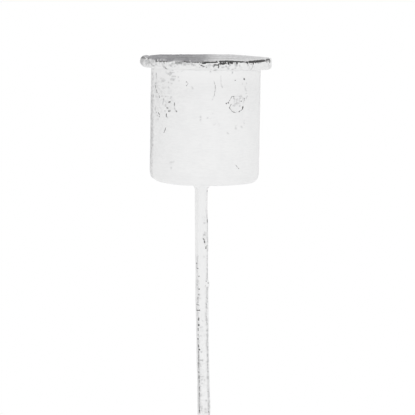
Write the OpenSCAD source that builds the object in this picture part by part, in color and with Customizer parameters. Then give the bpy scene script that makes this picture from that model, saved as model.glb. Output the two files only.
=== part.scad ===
// Candlestick for one dinner candle. A sheet steel cup with a wire ring round its mouth is welded
// to a square iron bar, which ends in a spike to push into a pot, a wreath or a flower bed.
// Millimetres. +Z runs up the candle, the front faces -Y, and the origin is the tip of the spike.

/* [Cup] */
// Outer diameter of the cup's wall
cup_d = 25; // [20:0.5:40]
// Thickness of the sheet that the cup is drawn from
sheet_t = 0.7; // [0.5:0.1:1.2]
// Height of the wall's edge above the flat middle of the floor's underside
cup_h = 28.9; // [20:0.1:60]
// Outer radius of the corner between the wall and the floor
corner_r = 2.3; // [1.5:0.1:5]
// Radius of the shallow dome that the floor bulges down in
dome_r = 80; // [50:5:300]

/* [Grip dimples] */
// How far the dimples lie below the wall's edge
dimple_drop = 10; // [6:0.5:14]
// Height of a dimple on the outside of the wall
dimple_d = 3.4; // [2.4:0.2:5]
// Depth of a dimple on the outside of the wall
dimple_depth = 0.4; // [0.3:0.05:0.5]
// How far a dimple stands into the cup
dimple_bump = 0.2; // [0.1:0.05:0.25]
// Angle from the front to the first dimple, towards the left
left_turn = 40; // [30:1:60]
// Angle from the front to the second dimple, towards the right
right_turn = 35; // [30:1:60]

/* [Rim ring] */
// Diameter of the wire that the ring is bent from
wire_d = 2.5; // [1.6:0.1:4]
// How deep the wire is flattened where it bears on the wall
wire_flat = 0.05; // [0.04:0.01:0.2]
// How far the wall's edge stands above the middle of the wire
edge_over_wire = 0.8; // [0.6:0.1:1.2]
// How far the braze under the ring runs down the wall below the wire
braze_leg = 0.25; // [0.1:0.05:0.6]

/* [Bar] */
// Side of the square bar
bar_side = 2.4; // [1.6:0.1:5]
// Radius of the bar's worn edges
bar_edge_r = 0.35; // [0.1:0.05:0.6]
// Length of the bar, from the cup's floor to the tip of the spike
bar_l = 121; // [70:1:300]
// Angle that the bar's faces are turned by at the cup, seen from above
bar_turn = 22.5; // [0:0.5:45]
// Twist of the whole bar
bar_twist = 26; // [0:1:90]
// Lean of the bar to the right of the cup's axis on its way down
bar_lean = 1.7; // [0:0.1:4]
// How far to the left of the cup's axis the bar is welded on
bar_offset = 0.6; // [0:0.1:1.5]

/* [Spike] */
// Length of the forged spike at the bar's lower end
spike_l = 14; // [6:1:30]
// Side of the spike's blunt tip
tip_side = 0.5; // [0.3:0.1:1]

/* [Weld] */
// How far the weld reaches out over the floor
weld_reach = 0.8; // [0.4:0.1:1.6]
// How far the weld runs down the bar
weld_drop = 1.1; // [0.6:0.1:2]
// Least thickness of the weld round the bar's edges
weld_skin = 0.08; // [0.05:0.01:0.3]

/* [Hidden] */

$fn = 96;
paint = [0.93, 0.93, 0.93];
worn_paint = [0.86, 0.86, 0.86];

// How far a solid runs past the face that trims it
overrun = 0.3;
// How far the floor's flat middle reaches past the weld
seat_margin = 0.4;

// Counts of steps along the arcs, and of rings along the bar
dome_steps = 5;
corner_steps = 8;
edge_steps = 6;
bar_edge_steps = 2;
fillet_steps = 6;
shank_rings = 22;
spike_rings = 6;

// Exponent of the spike's taper: above 1 the spike starts full and ends sharp
spike_fullness = 1.25;

// Cup: the wall, the flat that the bar is welded to, and the arcs that join them
cup_r = cup_d / 2;
bore_r = cup_r - sheet_t;
bar_reach_r = (bar_side / 2 - bar_edge_r) * sqrt(2) + bar_edge_r;
weld_foot_r = bar_reach_r + weld_skin;
weld_top_r = weld_foot_r + weld_reach;
seat_r = bar_offset + weld_top_r + seat_margin;
dome_mid = [0, sqrt(pow(dome_r, 2) - pow(seat_r, 2))];
corner_x = cup_r - corner_r;
corner_mid = [corner_x, dome_mid.y - sqrt(pow(dome_r - corner_r, 2) - pow(corner_x, 2))];
corner_turn = asin(corner_x / (dome_r - corner_r));
seat_turn = asin(seat_r / dome_r);

// Dimples: a ball on the outside, and the sheet that it pushes in front of it
dimple_r = (pow(dimple_d / 2, 2) + pow(dimple_depth, 2)) / (2 * dimple_depth);
dimple_x = cup_r - dimple_depth + dimple_r;
dimple_z = cup_h - dimple_drop;
dimple_sheet_t = sheet_t - dimple_depth + dimple_bump;
dimple_turns = [-left_turn, right_turn, 180 - left_turn, 180 + right_turn];

// Ring and its braze, as points of the section through the wall
wire_r = wire_d / 2;
wire_mid = [cup_r + wire_r - wire_flat, cup_h - edge_over_wire];
braze_turn = 235;
braze_bite_share = 0.9;

// Bar: its plain stretch in the weld, and where its tip lies under the cup
plain_l = weld_drop + bar_side;
shank_l = bar_l - spike_l;
tip_side_share = tip_side / bar_side;
tip_at = [bar_l * sin(bar_lean) - bar_offset, 0, -bar_l * cos(bar_lean)];

// Points of an arc, without its first one when skip is 1
function arc(mid, radius, from, to, steps, skip = 0) =
    [for (i = [skip : steps]) let (a = from + (to - from) * i / steps) mid + radius * [cos(a), sin(a)]];

// One side of the cup's sheet from the flat middle to the top of the corner
function sheet_side(inset) = concat(
    arc(dome_mid, dome_r - inset, seat_turn - 90, corner_turn - 90, dome_steps),
    arc(corner_mid, corner_r - inset, corner_turn - 90, 0, corner_steps, 1));

function reversed(points) = [for (i = [len(points) - 1 : -1 : 0]) points[i]];

// Section of the cup, from the axis out along the underside and back along the inside
function cup_section() =
    let (outside = sheet_side(0), inside = sheet_side(sheet_t), round_r = sheet_t / 2)
    concat(
        [[0, outside[0].y]],
        outside,
        arc([cup_r - round_r, cup_h - round_r], round_r, 0, 180, edge_steps),
        reversed(inside),
        [[0, inside[0].y]]);

// Outline of the square bar with round edges, turned about its axis
function bar_section(side, edge_r, turn) =
    let (corner = (side / 2 - edge_r) * sqrt(2))
    [for (quarter = [0 : 90 : 270]) for (i = [0 : bar_edge_steps])
        let (a = turn + quarter + 90 * i / bar_edge_steps, mid_a = turn + quarter + 45)
        corner * [cos(mid_a), sin(mid_a)] + edge_r * [cos(a), sin(a)]];

// How far down the bar each of its rings lies
bar_depths = concat(
    [-overrun],
    [for (i = [0 : shank_rings]) plain_l + (shank_l - plain_l) * i / shank_rings],
    [for (i = [1 : spike_rings]) shank_l + spike_l * i / spike_rings]);

function bar_turn_at(depth) = bar_turn - bar_twist * max(0, depth - plain_l) / (bar_l - plain_l);

function bar_share_at(depth) =
    depth <= shank_l ? 1 : 1 - (1 - tip_side_share) * pow((depth - shank_l) / spike_l, spike_fullness);

function bar_ring(depth) =
    let (share = bar_share_at(depth))
    [for (p = bar_section(bar_side * share, bar_edge_r * share, bar_turn_at(depth))) [p.x, p.y, -depth]];

// Moves what is drawn about the cup's floor to its place above the tip
module from_floor() {
    translate(-tip_at) children();
}

// Places the bar's own axis under the cup
module on_bar_axis() {
    translate([-bar_offset, 0, 0]) rotate([0, -bar_lean, 0]) children();
}

module at_dimples() {
    for (turn = dimple_turns) {
        rotate([0, 0, turn]) translate([0, -dimple_x, dimple_z]) children();
    }
}

// Drawn cup with a domed floor, a round edge and four dimples that grip the candle
module candle_cup() {
    color(paint) from_floor() difference() {
        union() {
            rotate_extrude() polygon(cup_section());
            intersection() {
                at_dimples() sphere(r = dimple_r + dimple_sheet_t);
                cylinder(r = bore_r + sheet_t / 2, h = cup_h);
            }
        }
        at_dimples() sphere(r = dimple_r);
    }
}

// Wire ring brazed round the mouth, flattened where it bears on the wall
module rim_ring() {
    color(paint) from_floor() rotate_extrude() difference() {
        translate(wire_mid) circle(r = wire_r);
        square([cup_r, cup_h + wire_d]);
    }
}

// Braze in the groove under the ring
module rim_braze() {
    braze_end = wire_mid + wire_r * braze_bite_share * [cos(braze_turn), sin(braze_turn)];
    color(paint) from_floor() rotate_extrude() difference() {
        polygon([[cup_r, wire_mid.y], [cup_r, wire_mid.y - wire_r - braze_leg], braze_end, wire_mid]);
        translate(wire_mid) circle(r = wire_r);
    }
}

// Square bar from the floor to the tip, slightly twisted, drawn down to a spike
module stem_bar() {
    rings = [for (depth = bar_depths) bar_ring(depth)];
    around = len(rings[0]);
    points = [for (ring = rings) each ring];
    last = len(points) - around;
    sides = [for (r = [0 : len(rings) - 2]) for (i = [0 : around - 1])
        let (a = r * around + i, b = r * around + (i + 1) % around)
        each [[a, b, b + around], [a, b + around, a + around]]];
    top = [for (i = [around - 1 : -1 : 0]) i];
    bottom = [for (i = [0 : around - 1]) last + i];
    color(worn_paint) from_floor() difference() {
        on_bar_axis() polyhedron(points = points, faces = concat([top], sides, [bottom]));
        cylinder(r = cup_r, h = overrun + bar_side);
    }
}

// Fillet weld between the bar and the floor
module stem_weld() {
    fillet = [for (i = [0 : fillet_steps]) let (a = 90 * i / fillet_steps)
        [weld_foot_r + weld_reach * (1 - sin(a)), -weld_drop * (1 - cos(a))]];
    color(paint) from_floor() difference() {
        translate([-bar_offset, 0, 0]) rotate_extrude() polygon(concat([[0, 0]], fillet, [[0, -weld_drop]]));
        on_bar_axis() translate([0, 0, -plain_l]) linear_extrude(plain_l + overrun)
            polygon(bar_section(bar_side, bar_edge_r, bar_turn));
    }
}

candle_cup();
rim_ring();
rim_braze();
stem_bar();
stem_weld();
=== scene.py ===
import math

import bmesh
import bpy
import numpy as np
from mathutils import Matrix, Vector


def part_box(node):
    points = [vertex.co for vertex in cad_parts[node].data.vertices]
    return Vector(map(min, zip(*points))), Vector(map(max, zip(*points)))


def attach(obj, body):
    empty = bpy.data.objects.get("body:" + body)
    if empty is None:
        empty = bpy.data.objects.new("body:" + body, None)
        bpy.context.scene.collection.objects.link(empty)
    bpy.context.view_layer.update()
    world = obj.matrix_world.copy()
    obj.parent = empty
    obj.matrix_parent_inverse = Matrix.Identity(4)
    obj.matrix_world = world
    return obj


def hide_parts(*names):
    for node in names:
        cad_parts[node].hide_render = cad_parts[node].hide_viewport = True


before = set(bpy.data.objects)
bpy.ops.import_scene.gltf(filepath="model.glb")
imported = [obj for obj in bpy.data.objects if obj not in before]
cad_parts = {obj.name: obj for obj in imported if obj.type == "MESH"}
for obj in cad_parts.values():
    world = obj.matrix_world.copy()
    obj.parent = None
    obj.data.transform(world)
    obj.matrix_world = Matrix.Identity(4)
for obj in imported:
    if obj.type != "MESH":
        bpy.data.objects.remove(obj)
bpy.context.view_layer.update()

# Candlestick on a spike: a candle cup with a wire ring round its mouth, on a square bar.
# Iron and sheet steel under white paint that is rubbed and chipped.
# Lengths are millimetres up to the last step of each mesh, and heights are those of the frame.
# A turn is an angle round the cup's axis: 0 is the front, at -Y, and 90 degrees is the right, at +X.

MM = 0.001
TAU = 2 * math.pi

# Places of the CAD nodes
cup_low, cup_high = (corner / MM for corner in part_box("candle_cup"))
ring_low, ring_high = (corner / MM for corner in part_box("rim_ring"))

# Cup
AXIS_X = (cup_low.x + cup_high.x) / 2
CUP_R = (cup_high.x - cup_low.x) / 2
FLOOR_Z = cup_low.z
EDGE_Z = cup_high.z
CUP_H = EDGE_Z - FLOOR_Z
SHEET = 0.7
BORE_R = CUP_R - SHEET
CORNER_R = 2.3
DOME_R = 80
SEAT_R = 3.43

# Ring of wire, and the braze that fills the groove under it
RING_Z = (ring_low.z + ring_high.z) / 2
WIRE_R = (ring_high.z - ring_low.z) / 2
RING_R = (ring_high.x - ring_low.x) / 2 - WIRE_R
WALL_BITE = 0.15
# Angle off the wire's top that stands for the hidden side against the wall
WALL_SIDE = 230

# Bar, from the floor to the tip of the spike, which is the frame's origin
BAR_SIDE = 2.4
BAR_EDGE_R = 0.35
BAR_OFFSET = 0.6
BAR_TOP_X = AXIS_X - BAR_OFFSET
BAR_TURN = math.radians(22.5)
BAR_TWIST = math.radians(26)
SPIKE_L = 14
SPIKE_TIP_SHARE = 0.2
SPIKE_FULLNESS = 1.25
TIP_END_SHARE = 0.8
PLAIN_L = 3.5

# The photo shows the bar down to this depth under the cup
SHOWN_L = 55

# Fineness of the meshes, whose columns are closest together up to FRONT_TURN
FINE_STEP = 0.14
PLAIN_STEP = 0.35
COARSE_STEP = 1.2
FRONT_TURN = 96

# A mesh says of its points how far the paint is gone (wear); how soiled it is, with painted shade in the
# same field, which goes below 0 for painted light that whitens the paint; where metal was left bare; and
# how pale that metal is, from white dust and from painted light. Noise breaks up soil and painted shade as
# far as WHOLE_MARK.
WHOLE_MARK = 0.3
MOST_GRIME_AND_SHADING = 1.3


# Numbers and noise

def smooth(t):
    t = np.clip(t, 0, 1)
    return t * t * (3 - 2 * t)


def ease(value, start, end):
    return smooth((value - start) / (end - start))


def hump(value, middle, width):
    return np.exp(-((value - middle) / width) ** 2)


def turned(turn, middle):
    """Angle in degrees from a place round the axis, between -180 and 180."""
    return (np.degrees(turn) - middle + 180) % 360 - 180


def bumps(value, rows):
    """Sum of humps, each given as its height, its middle and its width."""
    return sum(height * hump(value, middle, width) for height, middle, width in rows)


def bumps_round(turn, rows):
    """Sum of humps round the axis, whose middles and widths are in degrees."""
    return sum(height * hump(turned(turn, middle), 0, width) for height, middle, width in rows)


def curve(t, start, pull, end):
    """Point at a share of a curve from start to end that bends towards pull."""
    return (1 - t) ** 2 * start + 2 * t * (1 - t) * pull + t * t * end


def rotated(x, y, angle):
    c, s = np.cos(angle), np.sin(angle)
    return x * c - y * s, x * s + y * c


def lumps(turn, height, around, tall, seed):
    """Smooth random lumps between -1 and 1 that close round the axis: cells per turn, and their height."""
    shelves = 64
    table = np.random.default_rng(seed).uniform(-1, 1, (around, shelves))
    u, v = turn / TAU * around, height / tall
    i, j = np.floor(u).astype(int), np.floor(v).astype(int)
    fu, fv = smooth(u - i), smooth(v - j)

    def shelf(row):
        row = row % shelves
        return table[i % around, row] * (1 - fu) + table[(i + 1) % around, row] * fu

    return shelf(j) * (1 - fv) + shelf(j + 1) * fv


def near_line(u, v, points, width):
    """1 on a line drawn through points, fading to 0 away from it."""
    nearest = np.full(np.shape(u), 1e9)
    if len(points) == 1:
        points = points * 2
    for (ua, va), (ub, vb) in zip(points, points[1:]):
        du, dv = ub - ua, vb - va
        along = ((u - ua) * du + (v - va) * dv) / max(du * du + dv * dv, 1e-9)
        along = np.clip(along, 0, 1)
        nearest = np.minimum(nearest, np.hypot(u - ua - along * du, v - va - along * dv))
    return hump(nearest, 0, width)


def drawn(marks, u, v, u_unit=1, v_unit=1):
    """Strongest of some marks at each place. A mark is its strength in percent, its width in hundredths of
    a mm, and u and v of each point on it. The units are the mm in one of u and one of v."""
    u, v = u * u_unit, v * v_unit
    strongest = 0 * u
    for strength, width, *places in marks:
        points = [(a * u_unit, b * v_unit) for a, b in zip(places[::2], places[1::2])]
        strongest = np.maximum(strongest, strength / 100 * near_line(u, v, points, width / 100))
    return strongest


def columns(front, back):
    """Turns of a mesh's columns, closer together over the front."""
    near = np.linspace(-FRONT_TURN, FRONT_TURN, front, endpoint=False)
    far = np.linspace(FRONT_TURN, 360 - FRONT_TURN, back, endpoint=False)
    return np.radians(np.concatenate([near, far]))


# Paths of a section, as points of radius and height

def arc(middle, radius, start, end, step):
    count = max(2, math.ceil(abs(end - start) * radius / step))
    angles = np.linspace(start, end, count, endpoint=False)
    return np.stack([middle[0] + radius * np.cos(angles), middle[1] + radius * np.sin(angles)], 1)


def line(start, end, step):
    count = max(1, math.ceil(math.dist(start, end) / step))
    return np.linspace(start, end, count, endpoint=False)


# Meshes

def skin_faces(rows, around, closed):
    """Faces between rings of points. Rings that don't close have a point more at each end."""
    index = np.arange(rows * around).reshape(rows, around)
    here = index if closed else index[:-1]
    above = np.roll(index, -1, 0) if closed else index[1:]
    faces = np.stack([here, np.roll(here, -1, 1), np.roll(above, -1, 1), above], 2).reshape(-1, 4).tolist()
    if not closed:
        first, last = index.size, index.size + 1
        for k in range(around):
            after = (k + 1) % around
            faces.append((first, index[0, after], index[0, k]))
            faces.append((last, index[-1, k], index[-1, after]))
    return faces


def skin(name, rings, closed=False, **fields):
    """Object from rings of points. The rings join end to end, or else their ends close to a point."""
    points = rings.reshape(-1, 3)
    if not closed:
        points = np.concatenate([points, [rings[0].mean(0), rings[-1].mean(0)]])
    mesh = bpy.data.meshes.new(name)
    mesh.from_pydata((points * MM).tolist(), [], skin_faces(*rings.shape[:2], closed))
    bm = bmesh.new()
    bm.from_mesh(mesh)
    if bm.calc_volume(signed=True) < 0:
        bmesh.ops.reverse_faces(bm, faces=bm.faces)
        bm.to_mesh(mesh)
    bm.free()
    mesh.shade_smooth()
    for field, values in fields.items():
        values = np.append(values.reshape(-1), [values[0].mean(), values[-1].mean()])[:len(points)]
        mesh.attributes.new(field, "FLOAT", "POINT").data.foreach_set("value", values.astype(np.float32))
    return placed(name, mesh)


def placed(name, data):
    """New object in the scene."""
    added = bpy.data.objects.new(name, data)
    bpy.context.scene.collection.objects.link(added)
    return added


def revolve(radius, height, turn):
    """Points at radii and heights round the axis."""
    return np.stack([AXIS_X + radius * np.sin(turn), -radius * np.cos(turn), height], -1)


# Cup

# The wall's mesh is fine where it carries marks: over a span of heights, and from a height up
SCRATCH_SPAN = (3.7, 6.1)
MARKS_FROM = 11.7
# Radius at which the floor closes to a point
HUB_R = 0.3


def cup_path():
    """Section of the cup from its axis along the outside and back inside, and the outside's count."""
    dome_mid = (0, math.sqrt(DOME_R ** 2 - SEAT_R ** 2))
    corner_x = CUP_R - CORNER_R
    corner_mid = (corner_x, dome_mid[1] - math.sqrt((DOME_R - CORNER_R) ** 2 - corner_x ** 2))
    corner_turn = math.asin(corner_x / (DOME_R - CORNER_R)) - TAU / 4
    seat_turn = math.asin(SEAT_R / DOME_R) - TAU / 4
    edge_h = CUP_H - SHEET / 2
    stops = [corner_mid[1], *SCRATCH_SPAN, MARKS_FROM, edge_h]
    steps = [PLAIN_STEP, FINE_STEP, PLAIN_STEP, FINE_STEP]
    wall = [line((CUP_R, low), (CUP_R, high), step) for low, high, step in zip(stops, stops[1:], steps)]
    outside = np.concatenate([
        line((HUB_R, 0), (SEAT_R, 0), 0.8),
        arc(dome_mid, DOME_R, seat_turn, corner_turn, 0.7),
        arc(corner_mid, CORNER_R, corner_turn, 0, 0.25),
        *wall,
    ])
    inside = np.concatenate([
        arc((CUP_R - SHEET / 2, edge_h), SHEET / 2, 0, TAU / 2, 0.18),
        line((BORE_R, edge_h), (BORE_R, edge_h - 3), 0.5),
        line((BORE_R, edge_h - 3), (BORE_R, corner_mid[1]), COARSE_STEP),
        arc(corner_mid, CORNER_R - SHEET, 0, corner_turn, 0.4),
        arc(dome_mid, DOME_R - SHEET, corner_turn, seat_turn, COARSE_STEP),
        line((SEAT_R, SHEET), (HUB_R, SHEET), COARSE_STEP),
    ])
    return np.concatenate([outside, inside]), len(outside)


DIMPLE_DROP = 10
DIMPLE_Z = EDGE_Z - DIMPLE_DROP
DIMPLE_TURNS = (-40, 35, 140, 215)
DIMPLE_R = 1.75
DIMPLE_DEPTH = 0.42
DIMPLE_BUMP = 0.2

# Knock on the cup's lower left corner: depth, height above the floor and width. The corner sags beside it.
KNOCK = [(0.30, 0.95, 0.5), (0.12, 2.4, 0.9)]
KNOCK_TURN = -92
SAG_TURN = -56

# The mm in a degree of turn and in a mm of drop
CUP_UNITS = (math.radians(CUP_R), 1)

# Chips on the cup: strength, width, and the turn and drop of each point
CUP_CHIPS = [
    (52, 18, -20.4, 4.9, -18, 5.3, -20.2, 5.8),
    (50, 15, 8.5, 4.5, 10.3, 5.8, 10.2, 6.6, 9.4, 7.8),
    (56, 28, 32.5, 4.5),
    (66, 34, 44.5, 4.2),
    (56, 19, -65.5, 6.1, -65, 6.8),
    (58, 23, -62.5, 7.1, -61, 7.7),
    (60, 19, -71, 8.5, -70, 8.9),
    (62, 19, -56.5, 8.4, -56, 8.8),
    (55, 29, -43.2, 9.8, -41, 9.6),
    (53, 31, -44.3, 11, -43, 11.1),
    (51, 29, -41, 11.7, -39.2, 11.7),
    (62, 21, -34, 9.8, -34, 10.3),
    (47, 20, -32.5, 11.4, -30.5, 11.7),
    (60, 22, -44.2, 12.4, -44.2, 12.9),
    (66, 22, -62, 12.2),
    (64, 18, -57.5, 12.2, -55.5, 12.6),
    (70, 22, -56, 13.1),
    (52, 21, -44.7, 15.6, -46.3, 16.2, -47.7, 16.7),
    (50, 17, 33.8, 23.5, 36.4, 24, 39, 24.5),
    (74, 23, 43.1, 10.5, 42.9, 10.9),
    (54, 18, 42.8, 11, 41, 11.3),
    (52, 16, 41, 11.3, 38, 11.6),
    (44, 16, 34, 11.7, 32, 11.7),
    (55, 17, 32, 11.7, 29.5, 11.5),
    (56, 17, 29.5, 11.5, 27.7, 11.1, 26, 10.6),
    (56, 16, 26, 10.6, 27, 10.2, 28.5, 9.9),
    (62, 27, 22.5, 9.7),
    (66, 29, 24.8, 9.5),
    (52, 18, 26, 9.1, 27, 8.7, 28.5, 8.2),
    (54, 20, 29, 8.1, 31.3, 8.1),
    (50, 17, 31, 8.4, 32.3, 8.7),
    (56, 27, 41, 9.2),
    (53, 22, 45, 8.6, 45.2, 9.1),
]

# Stains and faint scratches on the cup, given as the chips are, with one spot of painted shade on the
# wall's left edge
CUP_STAINS = [
    (80, 24, -63.5, 3.4, -63.5, 4.2),
    (45, 26, -64, 5, -64.5, 5.8),
    (46, 32, -40, 2.9, -40, 3.4),
    (40, 24, -46, 2.9, -43, 3.3, -38, 3.2),
    (85, 20, -37, 3.8, -33, 3.8),
    (45, 24, -29.5, 3.9),
    (45, 20, -55, 4.5, -47, 4.7),
    (70, 22, -52, 4.8, -49.5, 4.9),
    (50, 22, -38.5, 4.5, -35, 4.6),
    (40, 13, -38, 4.2, -33, 4.3),
    (35, 15, -38, 2.9, -34.5, 2.9),
    (35, 17, -41, 2.3, -36, 2.4),
    (20, 17, -40, 5.4, -36.5, 5.5),
    (60, 22, -28.5, 4.7),
    (30, 17, -31, 2.7, -30, 2.7),
    (30, 17, -26, 2.6, -24, 2.4),
    (45, 22, -42, 5.2),
    (50, 24, -39.8, 11.5),
    (70, 21, -33.8, 10.3, -33, 11.2, -31, 11.7),
    (32, 24, -69, 17.3),
    # Painted shade: the darkest spot of the dark band down the wall's left edge
    (105, 26, -76.5, 20.7),
    (60, 22, -41.5, 6.4),
    (80, 22, -61.5, 6.3),
    (40, 24, -63, 8.7),
    (65, 17, -53.5, 8.5, -50, 8.4),
    (60, 17, -45.5, 8.4, -42, 8.4),
    (65, 22, -39.5, 8.7, -38, 8.5),
    (100, 19, -48.5, 9, -50, 10.2),
    (50, 20, -46, 9.7, -46, 10.5),
    (85, 22, -46.5, 11.7),
    (70, 18, -44, 12.9, -42, 13.3),
    (115, 26, -60, 12.9),
    (45, 22, -57.5, 13.7),
    (65, 22, -69, 13.9),
    (50, 30, -65, 11.2, -64, 11.8),
    (65, 26, 5, 2.5),
    (50, 22, 29, 2.3, 29, 2.8),
    (20, 26, 26, 3.3),
    (55, 15, 16, 3.5, 16.3, 5.2, 18, 6.1),
    (45, 22, 42, 5.2),
    (65, 22, 48, 5.2),
    (50, 15, 9, 8, 7.3, 8.9),
    (30, 16, 19.5, 5.8, 25, 5.8),
    (45, 18, 45.7, 6.1, 47.8, 7, 47.8, 7.5),
    (28, 20, -14, 6, -13, 6.5),
    (75, 28, 35.5, 8.8, 36, 9.8),
    (50, 17, 34, 9.9, 36, 9.8),
    (55, 27, 31.5, 8.4, 32.5, 9, 33, 9.7),
    (45, 24, 33, 8.1, 36, 8, 41, 8.1),
    (45, 24, 39.5, 8.2, 39, 9, 40, 9.8),
    (50, 24, 43, 8.6, 43.5, 9.6),
    (30, 20, 31.5, 10.2, 33.5, 10.3),
    (80, 18, 34, 9.9),
    (45, 20, 31.5, 10.2),
    (75, 18, 49.5, 8.1, 48, 8.5),
    (95, 18, 38.3, 9.7),
    (65, 16, 39.7, 10.3),
    (40, 15, 38, 11.6, 35, 11.7),
    (34, 22, -4.8, 12.7, -4.6, 13.4, -3, 14.2),
    (16, 34, 6, 13.4),
    (16, 34, 10, 14.4),
    (15, 30, 7.5, 12),
    (14, 34, 3, 11),
    (35, 26, 2.5, 12.9),
    (32, 26, 14.5, 14.5),
    (50, 30, 25, 16.4),
    (60, 28, 34.3, 15, 34.4, 15.4),
    (40, 30, 42, 15.1),
    (42, 22, 45.5, 13.8, 46, 14.6),
    (50, 30, -37, 23.3, -33.5, 23.3),
    (80, 26, -36.5, 24.6),
]


def dimple_share(turn, height):
    """How deep a place lies in a dimple, from 0 to 1."""
    share = np.zeros(np.broadcast(turn, height).shape)
    for middle in DIMPLE_TURNS:
        across = np.radians(turned(turn, middle)) * CUP_R
        bowl = 1 - (np.hypot(across, height - DIMPLE_Z) / DIMPLE_R) ** 2
        share = np.maximum(share, np.where(bowl > -0.6, 0.5 * (bowl + np.sqrt(bowl * bowl + 0.012)), 0))
    return np.where(share < 0.006, 0, share)


def cup_wear(turn, drop):
    """How far the paint is gone from the outside of the wall."""
    degrees = turned(turn, 0)
    under_rim = 0.07 * hump(drop, 2.6, 1.2) * lumps(turn, drop, 90, 1.1, 31)
    upper = ease(-drop, -15, -3) * (0.01 + 0.08 * lumps(turn, drop, 60, 1.6, 32))
    wear = np.clip(under_rim, 0, 1) + np.clip(upper, 0, 1)
    behind = ease(np.abs(degrees), 88, 110) * ease(-drop, -22, -6)
    wear = np.maximum(wear, behind * (0.20 + 0.22 * lumps(turn, drop, 44, 2.2, 34)))
    for middle in DIMPLE_TURNS[2:]:
        away = np.hypot(np.radians(turned(turn, middle)) * CUP_R, drop - DIMPLE_DROP)
        lip = hump(away, 1.6, 0.22) * (0.45 + 0.3 * lumps(turn, drop, 120, 0.8, 35))
        wear = np.maximum(wear, lip)
    return np.maximum(wear, drawn(CUP_CHIPS, degrees, drop, *CUP_UNITS))


def cup_grime(turn, drop):
    """How soiled the outside of the wall is, with painted shade down its left and right edges, and below 0
    for painted light: a whiter paint just under the ring, set against the ring's shade.
    """
    degrees = turned(turn, 0)
    upper = ease(-drop, -18, -5)
    # Painted shade: a dark band down the wall's left edge
    left_edge_shade = ease(-degrees + 1.5 * hump(drop, 17.5, 4), 67, 76.5)
    left_edge_shade = left_edge_shade * ease(degrees + 5 * lumps(turn, drop, 8, 3.0, 43), -108, -84)
    strength = 0.26 + 0.04 * ease(drop, 2, 5) + 0.43 * ease(drop, 6, 10)
    strength = strength + 0.18 * hump(drop, 18, 5) - 0.32 * ease(drop, 21, 26.5)
    left_edge_shade = left_edge_shade * strength * (1 + 0.16 * lumps(turn, drop, 30, 1.6, 42))
    on_left = 0.12 * upper * (1 - 0.7 * hump(drop, 3, 1.5)) + 0.06 - 0.04 * ease(drop, 21, 26)
    soiled = on_left * hump(degrees, -62, 27)
    soiled = soiled + upper * (0.01 + 0.03 * ease(np.abs(degrees - 8), 8, 30))
    # Painted shade: a faint darkening down the wall's right edge
    right_edge_shade = 0.03 * ease(degrees, 68, 80) * ease(-degrees, -100, -90)
    behind = ease(np.abs(degrees), 95, 125) * upper * (0.22 + 0.2 * lumps(turn, drop, 26, 3.0, 44))
    stains = drawn(CUP_STAINS, degrees, drop, *CUP_UNITS)
    grime = np.clip(left_edge_shade + soiled + right_edge_shade + behind + stains, 0, MOST_GRIME_AND_SHADING)
    # Painted light: a whiter paint just under the ring across the front, against the ring's shade
    painted_light_under_ring = 0.55 * ease(degrees, -74, -60) + 0.45 * ease(degrees, -44, -28)
    painted_light_under_ring = painted_light_under_ring * hump(drop, 2.8, 1.9) * ease(-degrees, -84, -74)
    return grime - 0.9 * painted_light_under_ring * ease(-grime, -0.35, -0.06)


def cup_shift(turn, radius, height, on_outside):
    """How far the cup's skin stands out from its plain section: by hand, with paint and at the dimples."""
    z = FLOOR_Z + height
    out_of_round = 0.05 * np.cos(2 * turn + 0.7) + 0.03 * np.cos(3 * turn + 2.1)
    knock = bumps(height, KNOCK) + 0.02 * ease(EDGE_Z - z, 10, 18) * ease(height, 0.5, 3.0)
    sag = 0.10 * hump(height, 0.4, 0.4) * hump(turned(turn, SAG_TURN), 0, 18)
    sheet = out_of_round * ease(height, 1.0, 6.0) + sag - knock * hump(turned(turn, KNOCK_TURN), 0, 42)
    paint = 0.035 * lumps(turn, z, 18, 4.5, 1) + 0.018 * lumps(turn, z, 46, 1.7, 2)
    paint = (paint + 0.012 * lumps(turn, z, 110, 0.7, 3)) * ease(radius, 2.0, 5.0)
    dent = dimple_share(turn, z) * ease(height, 1.5, 3.0) * ease(CUP_H - height, 0.2, 0.9)
    in_bore = ~on_outside & (radius < BORE_R + 0.01)
    shift = np.where(on_outside, sheet + paint - DIMPLE_DEPTH * dent, -sheet + 0.6 * paint)
    return shift + np.where(in_bore, DIMPLE_BUMP * dent, 0)


def make_cup():
    path, outside = cup_path()
    turn = columns(320, 96)
    radius, height = path[:, :1] + 0 * turn, path[:, 1:] + 0 * turn
    turn = turn + 0 * radius
    slope = np.gradient(path, axis=0)
    slope /= np.linalg.norm(slope, axis=1, keepdims=True)
    on_outside = np.arange(len(path))[:, None] < outside
    shift = cup_shift(turn, radius, height, on_outside)
    z = FLOOR_Z + height
    rings = revolve(radius + shift * slope[:, 1:], z - shift * slope[:, :1], turn)
    inward = CUP_R - radius
    # Painted light: this makes the bare metal paler down the bore, which lies in shade, than on the wall's
    # upward-facing rounded edge
    inside = ease(inward, SHEET - 0.15, SHEET - 0.03)
    wear = np.where(on_outside & (height > 1.0), cup_wear(turn, EDGE_Z - z), 0)
    grime = np.where(on_outside & (height > 0.5), cup_grime(turn, EDGE_Z - z), 0)
    bare = ease(inward, 0.02, 0.12) * ~on_outside
    dust = dusted(rings[..., 0], z, 0.05 + 0.20 * inside, 0.46 + 0.46 * inside)
    piece = skin("painted_cup", rings, wear=wear, grime=grime, bare=bare, dust=dust)
    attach(piece, "root")
    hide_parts("candle_cup")
    return piece


def dusted(x, z, on_left, on_right):
    """How pale the bare metal is: paler on the right and near the wall's edge."""
    x = x - AXIS_X
    right = ease(x + 0.3 * np.sin(1.7 * z), -1.6, 2.6) + 0.11 * ease(x, -4.4, -2.6)
    return np.clip(on_left + (on_right - on_left) * right, 0, 1) * ease(z, EDGE_Z - 12, EDGE_Z - 3)


# Ring and braze

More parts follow.
